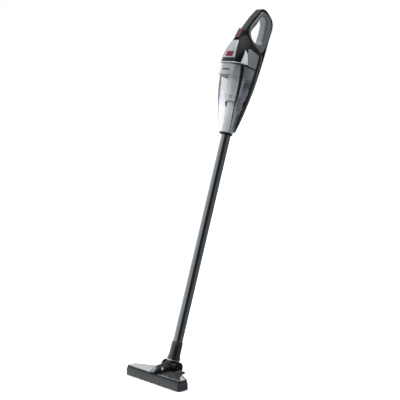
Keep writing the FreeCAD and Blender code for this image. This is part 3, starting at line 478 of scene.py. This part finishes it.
def wall(outer, inner, round_cols=False):
    """Closed solid between two grids of the same size: both faces, and strips round the open edges."""
    rows, cols = outer.shape[:2]
    size = rows * cols
    face = quads(rows, cols, False, round_cols)
    every = [face, face[:, ::-1] + size]
    index = np.arange(size).reshape(rows, cols)
    rims = [index[0], index[-1]] if round_cols else [index[0], index[:, -1], index[-1, ::-1], index[::-1, 0]]
    for rim in rims:
        ends = (rim, np.roll(rim, -1)) if round_cols else (rim[:-1], rim[1:])
        every.append(np.stack([ends[0], ends[1], ends[1] + size, ends[0] + size], -1))
    return np.concatenate([outer.reshape(-1, 3), inner.reshape(-1, 3)]), np.concatenate(every)


def lathe(profile, place, steps=96):
    """Closed profile of (radius, height) turned once about an axis; place puts (across, along, height)."""
    radius, height = np.array(profile, float).T
    turn = np.linspace(0, 2 * math.pi, steps, endpoint=False)
    points = place(radius[:, None] * np.cos(turn), radius[:, None] * np.sin(turn), height[:, None])
    return points, quads(len(radius), steps, True, True)


def rounded(corners, radius=0.6, steps=4):
    """Profile with each corner replaced by a small arc, as a parabola between points on its two sides."""
    corners = np.array(corners, float)
    before, after = np.roll(corners, 1, 0) - corners, np.roll(corners, -1, 0) - corners
    length = np.minimum(np.linalg.norm(before, axis=1), np.linalg.norm(after, axis=1))
    reach = np.minimum(radius, 0.45 * length)[:, None]
    first = corners + before / np.linalg.norm(before, axis=1)[:, None] * reach
    last = corners + after / np.linalg.norm(after, axis=1)[:, None] * reach
    t = np.linspace(0, 1, steps)[None, :, None]
    arc = (1 - t) ** 2 * first[:, None] + 2 * t * (1 - t) * corners[:, None] + t ** 2 * last[:, None]
    return arc.reshape(-1, 2)


def power(value, exponent):
    """Power of the size of a value, with the value's sign."""
    return np.sign(value) * np.abs(value) ** exponent


def body_point(height, turn, depth=0.0):
    """Superellipse of the hand-held unit at a height above the cup's mouth, drawn in by a depth:
    across = half width times cos^(2/n), back = middle + reach times sin^(2/n)."""
    half, front, rear, squareness = np.moveaxis(through(SECTIONS, height), -1, 0)
    across = power(np.cos(turn), 2 / squareness) * (half - depth)
    back = power(np.sin(turn), 2 / squareness) * ((rear - front) / 2 - depth) + (rear + front) / 2
    return leaned(across, back, height + CUP_MOUTH)


def turn_at(height, distance):
    """Angle round the section at a distance behind the wand's axis, on the right-hand side."""
    _, front, rear, squareness = np.moveaxis(through(SECTIONS, height), -1, 0)
    share = np.clip((distance - (rear + front) / 2) / ((rear - front) / 2), -1, 1)
    return np.arcsin(power(share, squareness / 2))


def seam_turn(height, stripe=0.0):
    """Angle at which the right-hand seam lies, or a share of the dark stripe's width behind it."""
    return turn_at(height, np.interp(height, *zip(*SEAM)) + stripe * np.interp(height, *zip(*STRIPE)))


def softened(node, bevel=0.5, sharp=32.0):
    """A CAD piece with its facets joined up, flat faces made whole and edges rounded."""
    mesh = frame["nodes"][node].data.copy()
    mesh.materials.clear()
    work = bmesh.new()
    work.from_mesh(mesh)
    bmesh.ops.remove_doubles(work, verts=work.verts, dist=3e-6)
    bmesh.ops.dissolve_limit(work, angle_limit=math.radians(0.6), verts=work.verts, edges=work.edges)
    work.to_mesh(mesh)
    work.free()
    stand_in(node + "_finished", node, mesh, bevel, sharp)


# --- wand and neck --------------------------------------------------------------------------------

def wand():
    """Thin tube with rolled lips."""
    low, high, inner = STUB_TOP + 0.5, CUP_MOUTH + WAND_INSERT, WAND_R - WAND_WALL
    profile = rounded([(inner, low), (WAND_R, low), (WAND_R, high), (inner, high)], 0.5)
    piece("wand_tube_drawn", "wand_tube", *lathe(profile, leaned))


def neck():
    """Bell over the elbow, swept in to the socket, with two grip grooves and a lip round the wand."""
    fit = STUB_R + 0.05
    outer = [(BELL_R, BELL_BOTTOM), (BELL_R, BELL_BOTTOM + 5), (BELL_R - 0.9, BELL_BOTTOM + 8.5),
             (NECK_R + 1.1, BELL_BOTTOM + 12.5), (NECK_R + 0.55, BELL_BOTTOM + 17),
             (NECK_R + 0.3, BELL_BOTTOM + 26)]
    for groove in (NECK_TOP - 7.0, NECK_TOP - 4.0):
        outer += [(NECK_R + 0.1, groove - 0.8), (NECK_R - 0.5, groove - 0.4), (NECK_R - 0.5, groove + 0.4),
                  (NECK_R + 0.1, groove + 0.8)]
    outer += [(NECK_R, NECK_TOP), (WAND_R + 0.1, NECK_TOP), (WAND_R + 0.1, STUB_TOP), (fit, STUB_TOP),
              (fit, BELL_BOTTOM)]
    piece("neck_socket_bell", "neck_socket", *lathe(rounded(outer, 0.7), leaned), sharp=50)
    low, high = BELL_BOTTOM - 3.4, BELL_BOTTOM - 0.4
    ring = [(STUB_R + 0.02, low), (BELL_R - 0.6, low), (BELL_R - 0.6, high), (STUB_R + 0.02, high)]
    piece("swivel_ring_turned", "swivel_ring", *lathe(rounded(ring, 0.8), leaned), sharp=50)


# --- dust cup -------------------------------------------------------------------------------------

def cup_front():
    """Clear wall from seam to seam round the front, its top band stepped out a little."""
    height = np.linspace(CUP_BOTTOM, CUP_TOP, 120)[:, None]
    seam = seam_turn(height[:, 0])[:, None]
    turn = seam + (-math.pi - 2 * seam) * np.linspace(0, 1, 61)
    step = 0.5 / (1 + np.exp((CUP_STEP - height) / 0.5))
    points, faces = wall(body_point(height, turn, -step), body_point(height, turn, CUP_WALL))
    piece("cup_front_wall", "cup_front", points, faces, bevel=0.3, sharp=50)


def cup_rear():
    """Smoked wall from seam to seam round the back, with a dark stripe that narrows towards the mouth."""
    height = np.linspace(CUP_BOTTOM, CUP_TOP, 120)[:, None]
    seam, edge = (seam_turn(height[:, 0], share)[:, None] for share in (0, 1))
    stripe = seam + (edge - seam) * np.linspace(0, 1, 7)[:-1]
    inside = edge + (math.pi - 2 * edge) * np.linspace(0, 1, 61)
    turn = np.concatenate([stripe, inside, math.pi - stripe[:, ::-1]], 1)
    lift = np.zeros(turn.shape)
    lift[:, 1:6] = lift[:, -6:-1] = -0.5
    points, faces = wall(body_point(height, turn, lift), body_point(height, turn, CUP_WALL))
    made = piece("cup_rear_wall", "cup_rear", points, faces, sharp=60)
    made.data.materials.append(FINISHES["black_gloss"])
    centre = np.zeros(len(made.data.polygons) * 3)
    made.data.polygons.foreach_get("center", centre)
    place = centre.reshape(-1, 3) / MM - PIVOT
    height, back = place @ UP - CUP_MOUTH, place @ BACK
    dark = turn_at(height, back) < seam_turn(height, 1)
    made.data.polygons.foreach_set("material_index", dark.astype(np.int32))
    made.data.update()


def spine():
    """Black back cover: the body's section a little proud of it from a swept edge round the back, raised in
    the middle into a flat-topped rib, and flared at the thumb rest."""
    height = np.linspace(COVER_BOTTOM, CUP_TOP, 150)[:, None]
    thumb = np.exp(-((height - THUMB_HEIGHT) / THUMB_REACH) ** 4)
    edge = turn_at(height[:, 0], through(COVER, height[:, 0])[:, 0] - THUMB_WIDEN * thumb[:, 0])[:, None]
    half, front, rear, squareness = np.moveaxis(through(SECTIONS, height), -1, 0)
    proud = COVER_PROUD + THUMB_PROUD * thumb
    foot = np.arccos(power((SPINE_HALF + 0.3) / (half + proud), squareness / 2))
    turn = edge + (foot - edge) * np.linspace(0, 1, 25)
    lip = proud * np.minimum(1, 0.25 + np.linspace(0, 9, 25)) ** 0.5
    across = power(np.cos(turn), 2 / squareness) * (half + lip)
    back = power(np.sin(turn), 2 / squareness) * ((rear - front) / 2 + lip) + (rear + front) / 2
    crest = np.maximum(through(SPINE, height[:, 0]) - SPINE_DROP[:, 1], back[:, -1:])
    across = np.concatenate([across, np.broadcast_to(SPINE_DROP[:, 0], crest.shape)], 1)
    back = np.concatenate([back, crest], 1)
    across = np.concatenate([across, -across[:, -2::-1]], 1)
    back = np.concatenate([back, back[:, -2::-1]], 1)
    outer = leaned(across, back, height + CUP_MOUTH)
    under = np.concatenate([turn, turn[:, -1:] + (math.pi / 2 - turn[:, -1:]) * np.linspace(0.1, 1, 9)], 1)
    under = np.concatenate([under, math.pi - under[:, -2::-1]], 1)
    inner = body_point(height, under, -0.02)
    piece("cup_spine_cover", "cup_spine", *wall(outer, inner), sharp=50)


def collar():
    """Black ring at the cup's mouth, from the body's form in to the wand."""
    height = np.array([0.5, 0.5, 0.9, 1.8, 5.2, 6.0, 6.0])[:, None]
    depth = np.array([2.4, 1.6, 0.7, 0.1, 0.0, 0.5, 1.6])[:, None]
    turn = np.linspace(0, 2 * math.pi, 96, endpoint=False)
    outer = body_point(height, turn, depth)
    bore = leaned((WAND_R + 0.05) * np.cos(turn), (WAND_R + 0.05) * np.sin(turn), height + CUP_MOUTH)
    piece("mouth_collar_ring", "mouth_collar", *wall(outer, bore, True), sharp=60)


def basket():
    """Stepped cage round the filter, its wall fluted into ribs: the radius drops where a steepened cosine of
    the turn is high."""
    low, step, top = (CUP_MOUTH + height for height in BASKET_HEIGHTS)
    foot, wide = FILTER_R - BASKET_FOOT, FILTER_R - BASKET_WALL
    profile = rounded([(0.01, low), (foot, low), (foot, step - BASKET_WALL), (FILTER_R, step - BASKET_WALL),
                       (FILTER_R, top), (wide, top), (wide, step), (foot - BASKET_WALL, step),
                       (foot - BASKET_WALL, low + BASKET_WALL), (0.01, low + BASKET_WALL)], 0.8, 5)
    lip = np.flatnonzero(profile[:, 0] > FILTER_R - 0.4)[-1] - 2
    side = np.stack([np.full(12, FILTER_R), np.linspace(step + 3, top - 3, 12)], -1)
    radius, height = np.concatenate([profile[:lip], side, profile[lip:]]).T
    turn = np.linspace(0, 2 * math.pi, 8 * FLUTES, endpoint=False)
    flute = FLUTE_DEPTH * (0.5 + 0.5 * np.tanh(6 * np.cos(FLUTES * turn)))
    fluted = (radius > FILTER_R - 0.1) & (height > step + 2) & (height < top - 2)
    r = radius[:, None] - fluted[:, None] * flute
    points = leaned(r * np.cos(turn), FILTER_BACK + r * np.sin(turn), height[:, None])
    piece("filter_basket_cage", "filter_basket", points, quads(len(radius), len(turn), True, True), sharp=50)


def pleats():
    """Filter paper folded into pleats: the radius swings between two values round the turn."""
    low, high = (CUP_MOUTH + height for height in PLEAT_HEIGHTS)
    turn = np.linspace(0, 2 * math.pi, 12 * PLEATS, endpoint=False)
    radius = PLEAT_R + PLEAT_SWING * 2 / math.pi * np.arcsin(0.96 * np.sin(PLEATS * turn))
    height = np.linspace(low, high, 8)[:, None]
    outer = leaned(radius * np.cos(turn), FILTER_BACK + radius * np.sin(turn), height)
    inner = leaned(PLEAT_CORE * np.cos(turn), FILTER_BACK + PLEAT_CORE * np.sin(turn), height)
    piece("pleated_filter_paper", "pleated_filter", *wall(outer, inner, True), sharp=60)


def tab():
    """Crimson pull tab moulded on the filter frame's front, under the clear wall: a crowned pad that follows
    the body's section, its corners rounded by a superellipse of the sixth power."""
    u, v = np.meshgrid(np.linspace(-1, 1, 41), np.linspace(-1, 1, 17))
    height = TAB_HEIGHT + TAB_REACH * v
    crown = np.clip(1 - np.abs(u) ** 6 - np.abs(v) ** 6, 0, 1) ** 0.25
    half, _, _, squareness = np.moveaxis(through(SECTIONS, height), -1, 0)
    turn = -np.arccos(power((TAB_HALF * u + TAB_SHIFT) / half, squareness / 2))
    outer = body_point(height, turn, CUP_WALL - 0.3)
    inner = body_point(height, turn, CUP_WALL + 0.9)
    outer = inner + (outer - inner) * crown[..., None]
    detail("filter_frame_tab", "dust_cup", "red_plastic", *wall(outer, inner), sharp=60)


def hood():
    """Grey hood round the front of the non-return flap: under half a tube, which throws the dust back."""
    turn = math.radians(190) + math.radians(160) * np.linspace(0, 1, 41)
    inside = HOOD_R - HOOD_WALL
    profile = rounded([(inside, HOOD_BOTTOM), (HOOD_R, HOOD_BOTTOM), (HOOD_R, HOOD_TOP), (inside, HOOD_TOP)],
                      0.5)
    radius, height = profile.T[:, :, None]
    points = leaned(radius * np.cos(turn), radius * np.sin(turn), CUP_MOUTH + height)
    rows, cols = points.shape[:2]
    ends = [list(range(0, rows * cols, cols)), list(range(cols - 1, rows * cols, cols))]
    detail("inlet_hood", "dust_cup", "light_grey", points, [*quads(rows, cols, True, False), *ends], 50)


# --- motor body and handle ------------------------------------------------------------------------

def grip_loop():
    """Closed loop between the outer outline and the finger hole, its section a squared-off oval."""
    outer = closed_curve(RING_OUTLINE, 160)
    hole = closed_curve(HOLE_OUTLINE, 160)
    turn = np.linspace(0, 2 * math.pi, 48, endpoint=False)
    along = power(np.cos(turn), 2 / 6)[None, :, None]
    middle, reach = ((outer + hole) / 2)[:, None], ((outer - hole) / 2)[:, None]
    side = middle + reach * along
    across = RING_HALF * power(np.sin(turn), 2 / 6)
    points = leaned(np.broadcast_to(across, side.shape[:2]), side[..., 0], side[..., 1] + CUP_MOUTH)
    piece("handle_ring_loop", "handle_ring", points, quads(160, 48, True, True), sharp=70)


def trim():
    """Bright bead round the front where the motor body meets the cup."""
    height, lift = TRIM_LIFT.T[:, :, None]
    end = turn_at(np.full(1, TRIM_HEIGHT), TRIM_END)[0]
    turn = np.linspace(-math.pi - end, end, 81)
    outer = body_point(height, turn, lift)
    piece("trim_ring_bead", "trim_ring", *wall(outer, body_point(height, turn, TRIM_WALL)), sharp=60)


def slider():
    """Red thumb slider: a slab squared off by high powers along and across, with ridges that swell as a bell
    curve of the distance from each one's place."""
    rows, cols = 90, 64
    length = np.linspace(0, SLIDER_LENGTH, rows)[:, None]
    turn = np.linspace(0, 2 * math.pi, cols, endpoint=False)[None, :]
    taper = np.clip(1 - np.abs(2 * length / SLIDER_LENGTH - 1) ** 8, 0.0001, 1) ** (1 / 8)
    across = SLIDER_HALF * taper * power(np.cos(turn), 2 / 5)
    ridge = RIDGE_TALL * np.exp(-((length - GRIP_RIDGES[:, None, None]) / RIDGE_WIDE) ** 2).sum(0)
    out = SLIDER_THICK * taper * power(np.sin(turn), 2 / 4) - SLIDER_SUNK
    ridged = (np.sin(turn) < 0) & (np.abs(np.cos(turn)) < 0.8)
    out = out - (ridge - RIDGE_TALL) * ridged
    back = SLIDER_BACK + out * math.cos(SLIDER_TILT) + length * math.sin(SLIDER_TILT)
    height = CUP_MOUTH + SLIDER_BOTTOM - out * math.sin(SLIDER_TILT) + length * math.cos(SLIDER_TILT)
    ends = [list(range(cols)), list(range((rows - 1) * cols, rows * cols))]
    faces = [*quads(rows, cols, False, True), *ends]
    piece("power_slider_thumb", "power_slider", leaned(across, back, height), faces, sharp=60)


# --- floor head -----------------------------------------------------------------------------------

def head_path(distance):
    """Head's outline drawn in by a distance: straight sides between rounded corners, front side first."""
    rear = HEAD_FRONT + HEAD_END_DEPTH
    corners = np.array([(-HEAD_HALF, HEAD_FRONT), (HEAD_HALF, HEAD_FRONT), (HEAD_HALF, rear), SHOULDER, TAIL,
                        (-TAIL[0], TAIL[1]), (-SHOULDER[0], SHOULDER[1]), (-HEAD_HALF, rear)])
    to = np.roll(corners, -1, 0) - corners
    to /= np.linalg.norm(to, axis=1)[:, None]
    come = np.roll(to, 1, 0)
    inwards = np.stack([-come[:, 1] - to[:, 1], come[:, 0] + to[:, 0]], -1)
    corners = corners + inwards * (distance / (1 + (come * to).sum(1)))[:, None]
    radius = max(CORNER_R - distance, 1.5)
    bend = np.arctan2(come[:, 0] * to[:, 1] - come[:, 1] * to[:, 0], (come * to).sum(1))
    reach = radius * np.abs(np.tan(bend / 2))
    side = np.sign(bend)[:, None]
    centre = corners - come * reach[:, None] + side * radius * np.stack([-come[:, 1], come[:, 0]], -1)
    first = corners - come * reach[:, None] - centre
    swing = bend[:, None] * np.linspace(0, 1, ARC_STEPS)
    c, s = np.cos(swing), np.sin(swing)
    x, y = first[:, :1], first[:, 1:]
    curve = centre[:, None] + np.stack([c * x - s * y, s * x + c * y], -1)
    share = np.linspace(0, 1, SIDE_STEPS + 2)[None, 1:-1, None]
    run = curve[:, -1:] + (np.roll(curve[:, :1], -1, 0) - curve[:, -1:]) * share
    return np.concatenate([curve, run], 1).reshape(-1, 2)


def bumper():
    """Soft band round the front and the ends: a profile of upright face, rounded brow and sloped top, carried
    along the part of the head's outline that the band covers."""
    profile = rounded([(BUMPER_WALL, SOLE_BOTTOM), (0.0, SOLE_BOTTOM), (0.0, BUMPER_SHOULDER),
                       (COVER_LEAN, BUMPER_TOP), (BUMPER_WALL, BUMPER_TOP)], 1.0, 5)
    side = ARC_STEPS + SIDE_STEPS
    covered = np.r_[7 * side + 14:8 * side, 0:2 * side + 3]
    grid = np.array([flat(*head_path(distance)[covered].T, height) for distance, height in profile])
    rows, cols = grid.shape[:2]
    ends = [list(range(0, rows * cols, cols)), list(range(cols - 1, rows * cols, cols))]
    piece("front_bumper_band", "front_bumper", grid, [*quads(rows, cols, True, False), *ends], sharp=50)


def wheel(side, node):
    """Rubber tyre with a rounded tread and a dished hub."""
    right = [(AXLE_R + 0.05, 0.0), (3.6, 0.0), (3.9, WHEEL_DISH), (5.4, WHEEL_DISH), (5.7, 0.0),
             (WHEEL_R, WHEEL_DISH)]
    profile = [(r, depth - WHEEL_HALF) for r, depth in right]
    profile = rounded(profile + [(r, -height) for r, height in profile[::-1]], 0.5)
    points, faces = lathe(profile, lambda a, b, h: flat(side * WHEEL_X + h, WHEEL_Y + a, WHEEL_R + b), 48)
    piece(node + "_tyre", node, points, faces, sharp=50)


def tufts():
    """Bristle tufts in two staggered rows, each a six-sided cone that flares to its tip."""
    sides, rings = 6, 3
    half = TUFT_STEP / 2
    rows = [np.arange(-TUFT_REACH, TUFT_REACH + 0.1, TUFT_STEP),
            np.arange(half - TUFT_REACH, TUFT_REACH - half + 0.5, TUFT_STEP)]
    x = np.concatenate(rows)
    y = TUFT_Y + np.repeat([-0.5, 0.5], [len(row) for row in rows])
    turn = np.linspace(0, 2 * math.pi, sides, endpoint=False)
    radius = np.linspace(0.5, 0.8, rings)[:, None]
    height = np.array([9.5, 6.5, 4.0])[:, None]
    tuft = np.stack(np.broadcast_arrays(radius * np.cos(turn), 0.8 * radius * np.sin(turn), height), -1)
    points = (tuft[None] + np.stack([x, y, 0 * x], -1)[:, None, None]) * MM
    first = sides * rings * np.arange(len(x))[:, None, None]
    skin = (quads(rings, sides, False, True)[None] + first).reshape(-1, 4)
    ends = (np.array([range(sides - 1, -1, -1), range(sides * (rings - 1), sides * rings)])[None] + first)
    faces = [*skin.tolist(), *ends.reshape(-1, sides).tolist()]
    piece("brush_bristles_tufts", "brush_bristles", points, faces, sharp=40)


wand()
neck()
cup_front()
cup_rear()
spine()
collar()
basket()
pleats()
tab()
hood()
grip_loop()
trim()
slider()
bumper()
wheel(1, "wheel_right")
wheel(-1, "wheel_left")
tufts()
for cad_name, edge in EDGES.items():
    softened(cad_name, edge)


# --- studio ---------------------------------------------------------------------------------------

VIEW_TURN = math.radians(49.5)
VIEW_DISTANCE = 3.2
VIEW_HEIGHT = 0.98
TARGET = (0.106, 0.538)
LENS = 100.2
LEFT = Vector((-math.cos(VIEW_TURN), -math.sin(VIEW_TURN), 0.0))
SWEEP = Vector((-math.sin(VIEW_TURN + 0.54), math.cos(VIEW_TURN + 0.54), 0.0))
GLOWS = ((SWEEP, 0.35, 0.85, 0.95), (LEFT, 0.28, 0.62, 1.1), (-LEFT, 0.35, 0.85, 0.3),
         (Vector((0.0, 0.0, 1.0)), 0.6, 1.0, 3.2))
DIM_ROOM = 0.07
FLOOR_REACH = 14.0


def surround():
    """White sweep behind, a bright wall on the left, a grey one on the right and a wide lamp overhead, in a
    dim room: each is the direction's dot product with its side, mapped smoothly to a brightness, and all are
    added up. Seen directly, the surround is plain white."""
    world = bpy.data.worlds.new("studio")
    world.use_nodes = True
    tree = world.node_tree
    tree.nodes.clear()
    way = add(tree, "TexCoord").outputs["Generated"]
    total = None
    for side, start_at, end_at, strength in GLOWS:
        share = add(tree, "VectorMath", {0: way}, operation="DOT_PRODUCT")
        share.inputs[1].default_value = side
        part = add(tree, "MapRange", {"Value": share.outputs["Value"]}, interpolation_type="SMOOTHSTEP",
                   From_Min=start_at, From_Max=end_at, To_Min=0.0, To_Max=strength).outputs["Result"]
        total = part if total is None else add(tree, "Math", {0: total, 1: part}, operation="ADD").outputs[0]
    room = add(tree, "Math", {0: total}, operation="ADD")
    room.inputs[1].default_value = DIM_ROOM
    lit = add(tree, "Background", {"Strength": room.outputs[0]}, Color=(1, 1, 1, 1))
    plain = add(tree, "Background", Color=(1, 1, 1, 1), Strength=1.0)
    seen = add(tree, "LightPath").outputs["Is Camera Ray"]
    mixed = add(tree, "MixShader", {0: seen, 1: lit.outputs[0], 2: plain.outputs[0]})
    add(tree, "OutputWorld", {"Surface": mixed.outputs[0]})
    bpy.context.scene.world = world
    bpy.context.scene.view_settings.view_transform = "Standard"


def studio():
    """Pale paper floor, left out of reflections, under one broad soft lamp."""
    mesh = bpy.data.meshes.new("floor")
    corners = [(-1, -1, 0), (1, -1, 0), (1, 1, 0), (-1, 1, 0)]
    mesh.from_pydata((FLOOR_REACH * np.array(corners, float)).tolist(), [], [(0, 1, 2, 3)])
    floor = bpy.data.objects.new("floor", mesh)
    bpy.context.scene.collection.objects.link(floor)
    paper, tree, place, shader = start("studio_paper", Roughness=0.9, Specular_IOR_Level=0.2)
    tone = add(tree, "TexNoise", {"Vector": place}, Scale=0.6)
    tint = add(tree, "ValToRGB", {"Fac": tone.outputs["Fac"]},
               [(0.3, linear("f6f6f6")), (0.7, linear("fafafa"))])
    tree.links.new(tint.outputs["Color"], shader.inputs["Base Color"])
    mesh.materials.append(paper)
    floor.visible_glossy = False
    lamp = bpy.data.lights.new("overhead", "SUN")
    lamp.energy, lamp.angle = 0.7, math.radians(60)
    stand = bpy.data.objects.new("overhead", lamp)
    bpy.context.scene.collection.objects.link(stand)
    stand.rotation_euler = Vector((-0.3, -0.4, -1.0)).to_track_quat("-Z", "Y").to_euler()


def camera():
    """Long lens, level with the handle, to the right of the front, aimed a little right of the axis."""
    data = bpy.data.cameras.new("camera")
    data.lens, data.sensor_width = LENS, 36.0
    made = bpy.data.objects.new("camera", data)
    bpy.context.scene.collection.objects.link(made)
    made.location = (VIEW_DISTANCE * math.sin(VIEW_TURN), -VIEW_DISTANCE * math.cos(VIEW_TURN), VIEW_HEIGHT)
    aside, height = TARGET
    target = Vector((aside * math.cos(VIEW_TURN), aside * math.sin(VIEW_TURN), height))
    made.rotation_euler = (target - made.location).to_track_quat("-Z", "Y").to_euler()
    bpy.context.scene.camera = made


surround()
studio()
camera()
